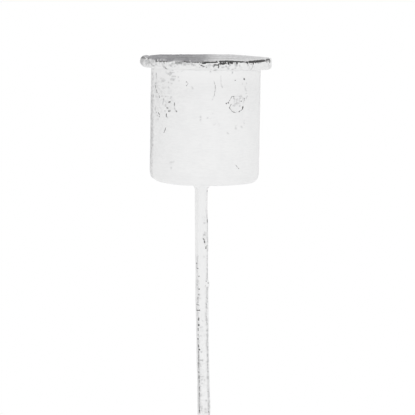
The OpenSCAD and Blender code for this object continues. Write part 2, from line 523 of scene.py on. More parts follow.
# Part of the wire's section that shows, in degrees off its top, and the turn of the ring's butt joint
WIRE_SHOWN = (-40, 215)
JOINT_TURN = 207

# Uneven shape of the ring: amount, turn and width of each place that is thicker, squarer or higher
RING_THICKER = [(0.20, 90, 42), (0.11, -90, 34)]
RING_SQUARER = [(0.09, 90, 42), (0.01, -90, 34)]
RING_HIGHER = [
    (-0.12, 90, 42), (0.03, -90, 34), (-0.15, -144, 35), (-0.29, -110, 13), (-0.035, -139, 5),
    (0.05, -153.3, 2.6), (-0.16, 120, 26), (0.07, 158, 20),
]

# The mm in a degree of turn and in a degree off the wire's top
RING_UNITS = (math.radians(RING_R), math.radians(WIRE_R))

# Where the paint on the ring's crest ends: turn, and angle off the top
CREST_END = [
    (-180, 34), (-110, 32), (-84, 36), (-76, 34), (-68, 44), (-58, 54), (-52, 60), (-49, 76), (-33, 73),
    (-31, 70), (-28.8, 67), (-26.5, 71), (-22, 72), (-19, 72), (-15, 73), (-2, 72), (9, 65), (12, 56),
    (20, 55), (32, 61), (42, 61), (55, 54), (66, 45), (72, 38), (80, 36), (88, 24), (98, 22), (130, 34),
    (180, 34),
]

# Chips on the ring: strength, width, and the turn and angle off the top of each point
RING_CHIPS = [
    (62, 62, -85, 46, -77, 50),
    (56, 40, -74, 47, -71, 53),
    (70, 22, -76, 46),
    (50, 26, -69.5, 56, -68, 58),
    (105, 30, -62, 50),
    (86, 21, -49, 62, -49, 78),
    (58, 17, -49, 76, -44, 74, -39, 72, -34, 68),
    (90, 19, -44, 74),
    (82, 19, -39.5, 72),
    (66, 16, -39, 76, -39, 95),
    (95, 22, -19, 62),
    (72, 18, -19, 65, -17, 71, -14.2, 70),
    (80, 16, -11.6, 72, -9, 73),
    (70, 17, -8, 71, -6, 71),
    (62, 20, -5, 71, -3, 72),
    (50, 20, -6.2, 58, -1.8, 58),
    (105, 24, -2.6, 77, -1, 78),
    (95, 21, -1.4, 73, -0.5, 70, 2, 68),
    (85, 20, 2, 70, 10, 66),
    (66, 18, 9, 56, 10, 54),
    (46, 20, 10.8, 44),
    (120, 23.5, 12.5, 56, 16, 53),
    (95, 16, 15.8, 58, 15.8, 68),
    (125, 25, 17.5, 53, 20, 52, 25, 56),
    (140, 27, 20.3, 60),
    (110, 24, 12.7, 79, 15, 79, 16.5, 79),
    (90, 18, 12.5, 59, 12.6, 75),
    (80, 15, 15, 78, 15, 90),
    (80, 18, 17.3, 72, 18, 79),
    (115, 22, 20, 58, 20, 80),
    (130, 28, 23.2, 65),
    (95, 24, 22, 72, 23.5, 75),
    (92, 21, 28.1, 62, 28.1, 80),
    (105, 20, 25, 56, 28, 56, 32, 60),
    (105, 22, 28.2, 64),
    (90, 20, 32, 62, 34.5, 59),
    (60, 17, 35, 60, 38, 64),
    (115, 26, 39, 65),
    (120, 26, 41.3, 62, 49, 59.5, 55, 56),
    (135, 33, 49, 60),
    (120, 27, 55, 57, 59, 54.5),
    (105, 24, 59, 54.5, 62.5, 53, 64.8, 54),
    (80, 17, 39.2, 66, 39.2, 77),
    (95, 19, 46, 66, 46, 81),
    (80, 17, 52, 62, 52, 73),
    (80, 24, 66.8, 66, 66.6, 57, 67.8, 48, 73, 47, 76.8, 51),
    (90, 28, 77.6, 56, 76.6, 63, 75.4, 70),
    (50, 24, 72, 33, 81, 44),
    (48, 34, 69.5, 62, 73, 60),
    (95, 17, 87, 42, 95, 34, 101, 35),
    (60, 20, 106, 33, 113, 36),
    (85, 15, 121, 31, 127, 34),
    (56, 22, -98, 40, -104, 36),
    (70, 18, -118, 34, -126, 37),
    (54, 19, 6.9, 116, 7.1, 102, 7.5, 94),
    (61, 25, 7.4, 92, 10.6, 97),
    (52, 20, 9, 90, 10.4, 88),
    (57, 21, 10, 94, 11.2, 104, 11.2, 126),
    (64, 18, 11.3, 82, 11.3, 91),
    (52, 34, -26, 86, -25, 79, -22, 77),
    (58, 26, -27, 81, -22, 81),
    (58, 27, -3.9, 104, -2.7, 105, -1.9, 115),
    (70, 23, -39, 148, -39.5, 165),
]

# Stains on the ring, given as its chips are, with one line of painted shade along its left end
RING_STAINS = [
    (60, 24, -31, 94, -28, 87),
    (40, 26, 69, 70, 73, 69),
    (45, 22, -57.5, 138, -59, 152),
    (60, 24, -3, 125),
    (95, 26, -22.5, 79, -20.5, 75),
    (75, 24, 39.4, 78, 39.6, 92),
    (65, 20, 53, 72, 57, 70),
    (60, 20, 3.6, 90, 4.2, 95),
    (80, 26, 26.4, 76, 27.2, 84, 27.4, 97),
    (75, 24, 20.4, 82, 21.2, 94),
    (50, 22, -69.5, 96),
    (70, 28, -25, 90, -21, 86),
    (60, 24, -15, 86, -12.5, 88),
    (35, 26, -7, 116, -5, 122),
    (35, 26, 26, 122, 27, 130),
    (45, 20, -5, 96, -3, 103),
    (130, 34, -32, 111),
    (80, 26, -19, 95),
    (60, 24, -12, 98, -9, 102),
    (60, 17, -2, 111, 1, 114, 4, 116),
    (100, 28, -40, 128, -40, 160, -37, 172),
    (70, 26, -55, 117),
    (40, 24, -49, 108),
    (85, 24, 15, 119),
    (75, 22, 18, 109, 21, 143),
    (85, 22, 2, 100),
    (70, 26, 6, 103, 7.5, 108),
    (60, 24, 12.5, 88, 12.5, 96),
    (65, 22, 25.5, 80, 25.5, 86),
    (80, 24, 8.2, 146, 9.6, 158),
    (65, 24, 5, 151),
    (80, 26, 25, 153),
    (40, 20, 31, 100, 31, 114),
    (40, 22, 33.5, 140, 35.5, 150),
    (50, 18, 44, 84, 46, 90),
    (50, 20, 42, 112, 42, 150),
    (55, 22, 45, 108, 45, 150),
    (35, 20, 47.5, 110, 47.5, 125),
    (50, 35, 72, 95, 73, 115, 78, 130),
    (80, 26, -63, 94),
    (55, 16, -66, 75, -60, 77, -58, 95, -66, 112),
    # Painted shade: a dark line along the ring's left end
    (110, 66, -77, 58, -75, 72, -74.5, 92, -75.5, 110),
]

# Specks of paint left on the crest, given as its chips are
CREST_SPECKS = [
    (66, 26, -47.4, 62),
    (30, 24, -38, 55),
    (45, 26, -44, 55),
    (45, 26, -40, 53),
    (30, 26, -55, 66, -52, 68),
    (30, 30, -58, 48),
    (28, 30, -29, 60, -27, 59, -22, 61),
    (50, 17, -14, 54),
    (46, 17, -1.4, 51, 0.8, 50),
    (35, 20, -13.6, 62),
]


def ring_section(turn):
    """Shown part of the wire: angle off its top, and distances out and up from its middle."""
    angles = np.radians(np.linspace(*WIRE_SHOWN, 51))[:, None]
    off_top = np.degrees(angles) + 0 * turn
    turns = turn + 0 * off_top
    wire_r = WIRE_R + bumps_round(turn, RING_THICKER)
    reach = wire_r * (1 - bumps_round(turn, RING_SQUARER) * np.cos(4 * angles))
    reach = reach + 0.045 * lumps(turns, off_top, 44, 45, 5) + 0.02 * lumps(turns, off_top, 130, 16, 6)
    reach = reach - 0.07 * hump(turned(turns, JOINT_TURN), 0, 0.9)
    return off_top, reach * np.sin(angles), reach * np.cos(angles)


def ring_shape(turn):
    """Section of the ring round the axis: radius, height, and angle off the wire's top."""
    off_top, out, up = ring_section(turn)
    middle_r = RING_R + 0.03 * np.cos(2 * turn + 1.2) - 0.01 * hump(turned(turn, -90), 0, 34)
    middle_z = RING_Z + 0.03 * np.cos(3 * turn + 0.4) + bumps_round(turn, RING_HIGHER)
    radius, height = middle_r + out, middle_z + up

    # Braze and paint round off the step from the ring to the wall's edge, and the rest is sunk in the wall
    inner_r = BORE_R + 0.12
    edge_z = EDGE_Z - 0.22 + 0.04 * lumps(turn, 0 * turn, 60, 1, 7)
    t = np.linspace(0, 1, 10)[:-1, None]
    fill_r = curve(t, inner_r, inner_r + 0.18, radius[0])
    fill_z = curve(t, edge_z, height[0] - 0.08, height[0])
    fill_turn = np.degrees(np.arctan2(fill_r - middle_r, fill_z - middle_z))
    sunk_r = CUP_R - WALL_BITE
    back_r = np.array([sunk_r, sunk_r, sunk_r - 0.1, inner_r + 0.12])[:, None] + 0 * turn
    back_z = np.stack([height[-1], RING_Z + 0 * turn, edge_z - 0.25, edge_z - 0.10])
    radius = np.concatenate([fill_r, radius, back_r])
    height = np.concatenate([fill_z, height, back_z])
    return radius, height, np.concatenate([fill_turn, off_top, WALL_SIDE + 0 * back_r])


def ring_front(off_top):
    """1 on the ring's outer side, from its crest down to its underside."""
    return ease(off_top, 62, 80) * ease(-off_top, -165, -120)


def ring_wear(turns, side, off_top, crest, left_end):
    """How far the paint is gone from the ring."""
    line_of_wear = hump(off_top, crest + 3, 8) * (0.28 + 0.18 * lumps(turns, off_top, 70, 40, 52))
    speckle = 0.22 + 0.16 * lumps(turns, off_top, 90, 18, 53) - 0.10 * ease(side, 30, 60)
    wear = np.maximum(line_of_wear * (1 - left_end), speckle * ring_front(off_top))
    chips = drawn(RING_CHIPS, side, off_top, *RING_UNITS)
    return np.maximum(wear, chips * (1 + 0.10 * lumps(turns, off_top, 170, 14, 56)))


def ring_grime(turns, side, off_top, crest, left_end):
    """How soiled the ring is: most at its left end and less in front, darker in a band under the crest,
    with painted shade along its left outline.
    """
    end = left_end * (0.16 + 0.84 * ease(-off_top, -128, -56)) * ease(-off_top, -170, -120)
    # Painted shade: a dark line along the ring's left outline
    left_outline_shade = 0.90 * ease(-side, 76, 80) * ease(side, -120, -88)
    left_outline_shade = left_outline_shade * ease(off_top, 25, 45) * ease(-off_top, -150, -112)
    front = 0.10 + 0.16 * hump(side, -52, 26) + 0.14 * hump(off_top, 84, 14) * ease(-side, -14, -4)
    under_crest = 0.34 * hump(off_top, crest + 13, 9) * ease(side, -34, -24) * ease(-side, -66, -56)
    grime = end + left_outline_shade + front * ring_front(off_top) + under_crest
    grime = grime * (0.75 + 0.45 * lumps(turns, off_top, 80, 24, 55))
    return np.clip(grime + drawn(RING_STAINS, side, off_top, *RING_UNITS), 0, MOST_GRIME_AND_SHADING)


def make_ring():
    turn = columns(620, 240)
    radius, height, off_top = ring_shape(turn)
    turns = turn + 0 * radius
    side = turned(turns, 0)
    crest = np.interp(side, *zip(*CREST_END)) + 3.0 * lumps(turns, off_top, 110, 14, 51)
    left_end = ease(side + 5 * lumps(turns, off_top, 9, 40, 57), -128, -92) * ease(-side, 47, 56)
    # Painted light and shade: the fill's bare metal is paler on the left and darker on the right than the
    # crest's, for how the fill faces
    fill_painted_shading = ease(-off_top, 38, 50)
    rings = revolve(radius, height, turns)
    dust = dusted(rings[..., 0], height, 0.05 * fill_painted_shading, 0.50 - 0.12 * fill_painted_shading)
    dust = dust + 0.16 * left_end * ease(off_top, -10, 15) * ease(-side, 58, 68)
    dust = np.maximum(dust, drawn(CREST_SPECKS, side, off_top, *RING_UNITS))
    wear = ring_wear(turns, side, off_top, crest, left_end)
    grime = ring_grime(turns, side, off_top, crest, left_end)
    bare = ease(crest - off_top, -3, 3)
    piece = skin("painted_ring", rings, closed=True, wear=wear, grime=grime, bare=bare, dust=dust)
    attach(piece, "root")
    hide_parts("rim_ring")
    return piece


# Braze: amount, turn and width of each place that is fuller, and of each spot of dirt
BRAZE_LEG = 0.30
BRAZE_MEET = 196
BRAZE_FULLER = [(0.9, -30, 60), (-0.7, 60, 30)]
BRAZE_SPOTS = [(1.3, 9.4, 1.6), (1.0, -44.5, 1.8)]


def make_braze():
    turn = np.arange(480) / 480 * TAU
    fullness = lumps(turn, 0 * turn, 36, 1, 8) + bumps_round(turn, BRAZE_FULLER)
    meet = np.radians(BRAZE_MEET - 9 * fullness)
    meet_r = RING_R + (WIRE_R - 0.02) * np.sin(meet)
    meet_z = RING_Z + (WIRE_R - 0.02) * np.cos(meet)
    under_z = RING_Z - WIRE_R
    t = np.linspace(0, 1, 12)[:, None]
    radius = curve(t, CUP_R - 0.06, CUP_R + 0.16 + 0.08 * fullness, meet_r)
    height = curve(t, under_z - BRAZE_LEG - 0.08 * fullness, under_z - 0.02, meet_z)
    radius = np.concatenate([radius, [meet_r - 0.1, CUP_R - WALL_BITE + 0 * turn]])
    height = np.concatenate([height, np.full((2, len(turn)), RING_Z - 0.7)])
    turns = turn + 0 * radius
    side = turned(turns, 0)
    # Painted shade: the braze darker in the crease under the ring on the right
    crease_shade_right = 0.30 * ease(side, 28, 42) * ease(-side, -84, -66)
    grime = (0.06 + crease_shade_right) * (1 + 0.7 * lumps(turns, height, 90, 0.5, 62))
    grime = grime + bumps(side, BRAZE_SPOTS)
    wear = 0.16 + 0.14 * lumps(turns, height, 120, 0.5, 61)
    piece = skin("painted_braze", revolve(radius, height, turns), closed=True, wear=wear, grime=grime)
    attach(piece, "root")
    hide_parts("rim_braze")
    return piece


# Bar and weld

# Uneven shape of the bar: amount, depth and width of what fills out its right side, and of the blob on it
BAR_RIGHT = [(0.13, 12.5, 5), (-0.06, 5.5, 2.5), (-0.08, 36, 4), (0.12, 51, 6), (0.08, 50.7, 1.5)]
BAR_BLOB = [(0.31, 22.45, 0.62), (0.15, 23.2, 0.45)]
BAR_BOW = 0.30
BAR_THICKER = 0.04


def bar_outline(flat_points, edge_points):
    """Section of the square bar with its round edges, and each point's distance from the nearest edge."""
    reach = BAR_SIDE / 2 - BAR_EDGE_R
    angle = np.arange(edge_points) / edge_points * TAU / 4
    share = np.arange(flat_points) / flat_points
    x = np.concatenate([reach + BAR_EDGE_R * np.cos(angle), reach * (1 - 2 * share)])
    y = np.concatenate([reach + BAR_EDGE_R * np.sin(angle), BAR_SIDE / 2 + 0 * share])
    on_flat = np.minimum(share, 1 - share) * 2 * reach + BAR_EDGE_R * TAU / 8
    away = np.concatenate([np.abs(angle - TAU / 8) * BAR_EDGE_R, on_flat])
    quarters = [rotated(x, y, quarter * TAU / 4) for quarter in range(4)]
    return np.concatenate(quarters, 1), np.tile(away, 4)


def bar_middle(depth):
    """Place of the bar's axis at a depth under the floor: it leans, and was straightened by eye."""
    down = np.clip(depth / FLOOR_Z, 0, 1)
    lean = BAR_TOP_X * (1 - depth / FLOOR_Z)
    return lean - BAR_BOW * np.sin(math.pi * down) - 0.08 * np.sin(TAU * np.clip(depth / 60, 0, 1))


def bar_turn(depth):
    return BAR_TURN - BAR_TWIST * np.clip((depth - PLAIN_L) / (FLOOR_Z - PLAIN_L), 0, 1)


def bar_share(depth):
    """Size of the section as a share of the bar's side: paint thickens it, the spike tapers."""
    along = np.clip((depth - FLOOR_Z + SPIKE_L) / SPIKE_L, 0, 1)
    taper = 1 - (1 - SPIKE_TIP_SHARE) * along ** SPIKE_FULLNESS
    return taper * (1 + BAR_THICKER * ease(depth, 18, 26))


# Chips on the front of the bar: strength, width, and each point's depth and distance right of the axis
BAR_CHIPS = [
    (48, 20, 0.5, 1.36, 1.5, 1.36),
    (50, 19, 7.6, 1.37, 8.4, 1.37),
    (60, 24, 12.2, 0.49),
    (56, 26, 12.4, 0.62, 13.1, 0.72),
    (57, 23, 13.9, 1.1, 14.4, 1.02),
    (62, 22, 17.9, -1.12),
    (49, 22, 19, -1.1, 19, -0.85),
    (50, 20, 20.8, -0.75, 20.8, -0.6),
    (40, 20, 21.6, -0.95, 22.9, -0.97),
    (62, 19, 21.9, 1.05),
    (64, 20, 22.3, 1.45),
    (46, 16, 22.7, 0.84, 23.2, 0.82),
    (50, 17, 23.3, 1.3),
    (68, 24, 23.7, -0.63),
    (62, 22, 25, -0.72),
    (46, 22, 25.5, -0.92, 26.9, -0.92),
    (56, 20, 25.8, 1.2),
    (54, 22, 27.2, 0.97),
    (60, 18, 27.3, -1.25, 27.3, -0.75),
    (62, 19, 28.6, -1.3, 28.5, -0.55),
    (60, 20, 29.9, 0.93),
    (58, 24, 30.2, -0.83, 30.8, -0.84),
    (44, 18, 31.1, 1.02, 31.9, 1.12),
    (84, 26, 31.9, -0.82),
    (50, 22, 32.6, -0.98, 33.2, -0.98),
    (48, 19, 33, 1.08, 33.4, 1.06),
    (52, 20, 34, -1.02, 34.4, -1.02),
    (64, 27, 35.1, -1.05),
    (46, 19, 35.2, 1.04, 35.8, 1.04),
    (60, 20, 36.5, -0.96, 36.9, -0.96),
    (78, 23, 37.5, -0.8),
    (50, 20, 38, -0.95, 40.1, -0.96),
    (50, 20, 40.5, -0.97, 41.7, -0.98),
    (44, 18, 40.4, 1.05, 41.2, 1.06),
    (66, 22, 42.7, -0.98),
    (56, 18, 42.6, 1.11),
    (52, 25, 43.6, -0.97, 44.1, -0.97),
    (47, 20, 44.4, -0.92, 50, -0.97, 51.9, -0.92),
    (58, 22, 46.2, -0.92),
    (55, 20, 47.4, -0.92, 47.9, -0.92),
    (48, 18, 45.2, 1.16),
    (58, 18, 47.1, 1.12),
    (54, 26, 51.4, -0.92, 51.7, -0.92),
    (62, 22, 51.8, 1.14),
]

# Stains on the front of the bar, given as the chips are, and one soft line of painted shade on its left
# side
BAR_STAINS = [
    (28, 20, 1.5, 1.3, 3.2, 1.18, 5, 1.2),
    (62, 19, 5.9, 1.32, 6.5, 1.38, 16, 1.36, 20, 1.3, 21.6, 1.2),
    (36, 24, 4.8, 1.12, 6.8, 1.22),
    (60, 26, 10.8, 0.92, 11.6, 1.12, 12.1, 1.15),
    (15, 24, 16.2, -0.85, 17.5, -0.9),
    (40, 36, 12, 0.55, 13.2, 0.75),
    (55, 24, 24.9, -0.55, 25.7, -0.52),
    (40, 20, 20.9, -0.62),
    (40, 20, 21.9, -0.62, 22.4, -0.66),
    (70, 20, 25.7, 1.22, 26.5, 1.22),
    (42, 24, 48.2, -0.4),
    (85, 28, 50.9, -0.45, 51.4, -0.45),
    (30, 24, 51.1, -0.4, 51.2, 0.5),
    (35, 24, 51.9, 0.4, 52, 0.85),
    (30, 34, 7.3, 0.6, 7.8, 0.8),
    (68, 22, 23.3, 1.25, 25, 1.08, 28, 0.97, 30, 0.94, 32, 1.08, 35, 1.04),
    (85, 22, 35, 1.04, 41, 1.06, 47, 1.12, 49, 1.19, 51.8, 1.27, 55, 1.25),
    (50, 22, 7.4, 0.85),
    (85, 19, 8.6, 0.7, 8.6, 0.95),
    (115, 25, 11.3, 0.6, 11.3, 0.85),
    (55, 19, 16.2, 0.58),
    (60, 19, 30.9, 0.11),
    (48, 18, 32.4, -0.49, 32.4, 0),
    (40, 20, 34.3, -0.36),
    (95, 23, 38, -0.42),
    (100, 19, 39.9, -0.6, 40, -0.15),
    (85, 22, 41.3, -0.65),
    (70, 17, 43.7, -0.72, 43.7, -0.04),
    (48, 19, 44.5, -0.73, 44.5, 0.29),
    (80, 22, 45.3, -0.33),
    (80, 22, 49.1, 0.7),
    (60, 22, 35, -0.98, 44, -0.96, 52.1, -0.92),
    # Painted shade: soft grey along the bar's left side, lower down
    (37, 38, 40, -0.74, 51.4, -0.72),
    (60, 22, 12.8, 0.9, 13.4, 0.95),
]


def bar_shape(depth):
    """Points off the bar's axis, their distance from its edges, and their place round its section."""
    (x, y), away = bar_outline(11, 7)
    share = bar_share(depth)
    slot = np.arange(len(x))[None] / len(x) * TAU
    x, y = x * share, y * share
    uneven = 0.028 * lumps(slot, depth, 8, 5.0, 9) + 0.016 * lumps(slot, depth, 20, 1.4, 10)
    uneven = uneven + 0.008 * lumps(slot, depth, 48, 0.5, 11)
    spike_top = FLOOR_Z - SPIKE_L
    hammered = 0.05 * lumps(slot, depth, 4, 3.0, 12) * ease(depth, spike_top - 6, spike_top)
    swell = 1 + (uneven + hammered) * np.clip(share * 1.2, 0, 1) / np.hypot(x, y)
    x, y = rotated(x * swell, y * swell, bar_turn(depth))
    facing = np.degrees(np.arctan2(y, x))
    x = x + hump(facing, -24, 24) * bumps(depth, BAR_BLOB) + hump(facing, -12, 45) * bumps(depth, BAR_RIGHT)
    x = x - hump(np.abs(facing), 180, 45) * (0.10 * hump(depth, 26, 4) - 0.03 * ease(depth, 48, 50.5))
    return x, y, away, slot


def in_soil(depth):
    """How far a place is in the reach of the soil that the spike is pushed into."""
    return ease(depth, FLOOR_Z - 40, FLOOR_Z - 8)


def bar_wear(slot, depth, x, edge, shown):
    """How far the paint is gone from the bar: as drawn where the photo shows it, else by chance."""
    rubbed = 0.42 + 0.25 * lumps(0 * slot + 0.6, depth, 4, 1.3, 74)
    rubbed = rubbed + 0.12 * lumps(0 * slot + 0.1, depth, 4, 3.5, 72)
    wear = edge * rubbed * (1 - shown) * ease(depth, 4, 12)
    patches = (0.10 + 0.14 * lumps(slot, depth, 16, 1.6, 75)) * ease(depth, 22, 34)
    wear = np.maximum(wear, patches * (1 - 0.6 * shown))
    wear = np.maximum(wear, shown * drawn(BAR_CHIPS, depth + 0 * x, x))
    return np.maximum(wear, in_soil(depth) * (0.34 + 0.2 * lumps(slot, depth, 14, 2.2, 76)))


def bar_grime(slot, depth, x, edge, shown):
    """How soiled the bar is, in the same way, with painted shade down its left side."""
    # Painted shade: the bar's left side darker below the weld; the front also darkens a little lower down
    left_side_shade = ease(-x, 0.60, 0.82) * ease(depth, 14.5, 17.5) * (0.40 - 0.20 * ease(depth, 32, 36))
    left_side_shade = left_side_shade * (1 - 0.6 * hump(depth, 24.6, 0.8)) + 0.09 * ease(depth, 22, 40)
    left_side_shade = left_side_shade * (1 + 0.5 * lumps(slot, depth, 40, 0.7, 78))
    unseen = 0.35 * edge * ease(depth, 8, 30)
    unseen = unseen + 0.10 * ease(depth, 20, 40) * (1 + lumps(slot, depth, 12, 3.0, 77))
    seen = left_side_shade + drawn(BAR_STAINS, depth + 0 * x, x)
    return np.clip(unseen * (1 - shown) + 0.45 * in_soil(depth) + shown * seen, 0, MOST_GRIME_AND_SHADING)


def make_bar():
    fine, plain = np.arange(-0.4, SHOWN_L, FINE_STEP), np.arange(SHOWN_L, FLOOR_Z - 0.1, 0.25)
    depth = np.concatenate([fine, plain, [FLOOR_Z - 0.02]])[:, None]
    x, y, away, slot = bar_shape(depth)
    rings = np.stack([bar_middle(depth) + x, y, FLOOR_Z - depth + 0 * x], -1)
    rings[-1] = rings[-1] * [TIP_END_SHARE, TIP_END_SHARE, 1]
    shown = ease(-depth, -SHOWN_L - 3, -SHOWN_L + 1) * (y < 0)
    edge = hump(away[None] + 0 * depth, 0, 0.24)
    wear = bar_wear(slot, depth, x, edge, shown)
    piece = skin("painted_bar", rings, wear=wear, grime=bar_grime(slot, depth, x, edge, shown))
    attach(piece, "root")
    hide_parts("stem_bar")
    return piece


# Weld: its reach over the floor starts at a radius that clears the bar
WELD_FOOT_R = 1.55
WELD_REACH = 1.15
WELD_DROP = 1.25


def make_weld():
    x, y = rotated(*bar_outline(18, 12)[0], BAR_TURN)
    around, bar_r = np.arctan2(y, x)[None], np.hypot(x, y)[None]
    sweep = np.linspace(0, TAU / 4, 16)[:, None]
    foot_r = WELD_FOOT_R + WELD_REACH * (1 + 0.10 * lumps(around, 0 * around, 9, 1, 13))
    reach = bar_r - 0.01 + (foot_r - bar_r + 0.01) * (1 - np.sin(sweep))
    drop = WELD_DROP * (1 + 0.12 * lumps(around, 0 * around, 7, 1, 14)) * (1 - np.cos(sweep))
    reach = reach + 0.03 * lumps(around, drop, 24, 0.5, 15) * np.sin(2 * sweep)
    reach = np.concatenate([foot_r - 0.2, reach, bar_r * 0.7])
    drop = np.concatenate([0 * bar_r - 0.25, drop - 0.02, drop[-1:] - 0.02])
    rings = np.stack([BAR_TOP_X + reach * np.cos(around), reach * np.sin(around), FLOOR_Z - drop], -1)
    wear = 0.06 + 0.10 * lumps(around, drop, 20, 0.5, 81)
    grime = 0.02 + 0.02 * lumps(around, drop, 10, 0.6, 82)
    piece = skin("painted_weld", rings, wear=wear, grime=grime)
    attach(piece, "root")
    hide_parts("stem_weld")
    return piece


# Materials

class Shader:
    """Short calls for the nodes of one material."""

    def __init__(self, name):
        self.material = bpy.data.materials.new(name)
        self.material.use_nodes = True
        self.tree = self.material.node_tree
        self.tree.nodes.clear()
        self.place = self.add("ShaderNodeTexCoord").outputs["Object"]

    def add(self, kind, **settings):
        node = self.tree.nodes.new(kind)
        for key, value in settings.items():
            setattr(node, key, value)
        return node

    def feed(self, socket, value):
        if isinstance(value, bpy.types.NodeSocket):
            self.tree.links.new(value, socket)
        else:
            socket.default_value = value

    def math(self, operation, a, b=0.0, clamp=False):
        node = self.add("ShaderNodeMath", operation=operation, use_clamp=clamp)
        self.feed(node.inputs[0], a)
        self.feed(node.inputs[1], b)
        return node.outputs[0]

    def noise(self, size, detail=2.0, rough=0.5, stretch=(1, 1, 1)):
        """Noise with features of a size in mm, from 0 to 1."""
        spread = self.add("ShaderNodeMapping")
        self.feed(spread.inputs["Vector"], self.place)
        spread.inputs["Scale"].default_value = [1 / (size * MM * s) for s in stretch]
        node = self.add("ShaderNodeTexNoise")
        self.feed(node.inputs["Vector"], spread.outputs[0])
        node.inputs["Scale"].default_value = 1.0
        node.inputs["Detail"].default_value = detail
        node.inputs["Roughness"].default_value = rough
        return node.outputs["Fac"]

    def field(self, name):
        return self.add("ShaderNodeAttribute", attribute_name=name).outputs["Fac"]

    def ramp(self, value, low, high, start=0.0, end=1.0):
        node = self.add("ShaderNodeMapRange", interpolation_type="SMOOTHSTEP")
        for socket, given in zip(node.inputs, (value, low, high, start, end)):
            self.feed(socket, given)
        return node.outputs[0]

    def show(self, surface):
        """Make this the surface that the material shows."""
        self.feed(self.add("ShaderNodeOutputMaterial").inputs["Surface"], surface)

    def mix(self, share, a, b):
        node = self.add("ShaderNodeMix", data_type="RGBA")
        self.feed(node.inputs[0], share)
        for socket, colour in ((node.inputs[6], a), (node.inputs[7], b)):
            self.feed(socket, colour if isinstance(colour, bpy.types.NodeSocket) else (*colour, 1))
        return node.outputs[2]

    def blend(self, share, a, b):
        """Number between a and b."""
        node = self.add("ShaderNodeMix", data_type="FLOAT")
        for socket, given in zip((node.inputs[0], node.inputs[2], node.inputs[3]), (share, a, b)):
            self.feed(socket, given)
        return node.outputs[0]


WHITE = (0.868, 0.868, 0.868)
WHITE_LOW = (0.835, 0.836, 0.838)
# Painted light: the whiter paint that a field below 0 brings, against the shade under the ring
PAINTED_LIGHT_WHITE = (0.91, 0.91, 0.91)
SOIL_AND_SHADE_GREY = (0.47, 0.47, 0.475)
PRIMER = (0.40, 0.40, 0.40)
IRON = (0.036, 0.036, 0.038)
IRON_PALE = (0.10, 0.098, 0.096)
ZINC = (0.282, 0.279, 0.292)
ZINC_DARK = (0.216, 0.213, 0.225)
PALE_ZINC = (0.90, 0.90, 0.90)
PALE_ZINC_DARK = (0.83, 0.83, 0.83)

# Wear over which the primer comes through, and then the iron
PRIMER_WEAR = (0.34, 0.44)
IRON_WEAR = (0.47, 0.56)
# Share of the soiled grey, which also stands for painted shade, at a field value of 1
SOIL_AND_SHADE_COVER = 0.80
# Roughness of each layer, the gloss of all, and the depth of the relief
PAINT_ROUGH = (0.50, 0.66)
PRIMER_ROUGH = 0.75
IRON_ROUGH = 0.46
GLOSS = 0.25
RELIEF = 0.05 * MM
RELIEF_STRENGTH = 0.55


def worn_through(s, chip_size, dashes):
    """How far the primer and the iron show: wear of the mesh, broken up by noise."""
    fine = s.math("SUBTRACT", s.noise(chip_size, detail=3.0, rough=0.6, stretch=dashes), 0.5)
    coarse = s.math("SUBTRACT", s.noise(chip_size * 4, detail=2.0), 0.5)
    spread = s.math("ADD", s.math("MULTIPLY", fine, 0.70), s.math("MULTIPLY", coarse, 0.35))
    total = s.math("ADD", s.field("wear"), spread)
    return s.ramp(total, *PRIMER_WEAR), s.ramp(total, *IRON_WEAR)


def soiled_and_shaded_white(s, brushed, dashes, painted_light_lift):
    """Brushed white paint, soiled and carrying painted shade as the mesh's field says, and whitened as
    painted light where that field is below 0.
    """
    cloudy = s.noise(3.0, detail=3.0)
    tone = s.math("ADD", s.math("MULTIPLY", brushed, 0.6), s.math("MULTIPLY", cloudy, 0.4))
    # Painted light: the lift makes a whiter copy of the paint
    low, high = (tuple(part + painted_light_lift for part in colour) for colour in (WHITE_LOW, WHITE))
    paint = s.mix(s.ramp(tone, 0.36, 0.62), low, high)
    grime = s.field("grime")
    # Painted light: below 0 the field whitens the paint, against the shade under the ring
    paint = s.mix(s.math("MULTIPLY", grime, -1.0, clamp=True), paint, PAINTED_LIGHT_WHITE)
    marks = s.math("MAXIMUM", s.math("SUBTRACT", grime, WHOLE_MARK), 0.0)
    broken = s.ramp(s.noise(0.7, detail=4.0, rough=0.65, stretch=dashes), 0.42, 0.66, 0.15, 2.30)
    haze = s.math("MULTIPLY", s.math("MINIMUM", grime, WHOLE_MARK), broken)
    soil_and_shade = s.math("MULTIPLY", s.math("ADD", haze, marks), SOIL_AND_SHADE_COVER, clamp=True)
    return s.mix(soil_and_shade, paint, SOIL_AND_SHADE_GREY)


def bare_zinc(s):
    """Zinc with a cloudy cast, paler as the mesh says, from dust and from painted light."""
    cast = s.ramp(s.noise(0.6, detail=3.0), 0.38, 0.62)
    return s.mix(s.field("dust"), s.mix(cast, ZINC_DARK, ZINC), s.mix(cast, PALE_ZINC_DARK, PALE_ZINC))


def relief(s, to_primer, to_iron, brushed):
    """Brush marks, the paint's grain, and the steps down to primer and iron."""
    level = s.math("MULTIPLY", s.math("ADD", to_primer, to_iron), -0.5)
    level = s.math("ADD", level, s.math("MULTIPLY", brushed, 0.35))
    level = s.math("ADD", level, s.math("MULTIPLY", s.noise(0.22, detail=2.0), 0.18))
    bump = s.add("ShaderNodeBump")
    bump.inputs["Strength"].default_value = RELIEF_STRENGTH
    bump.inputs["Distance"].default_value = RELIEF
    s.feed(bump.inputs["Height"], level)
    return bump.outputs["Normal"]


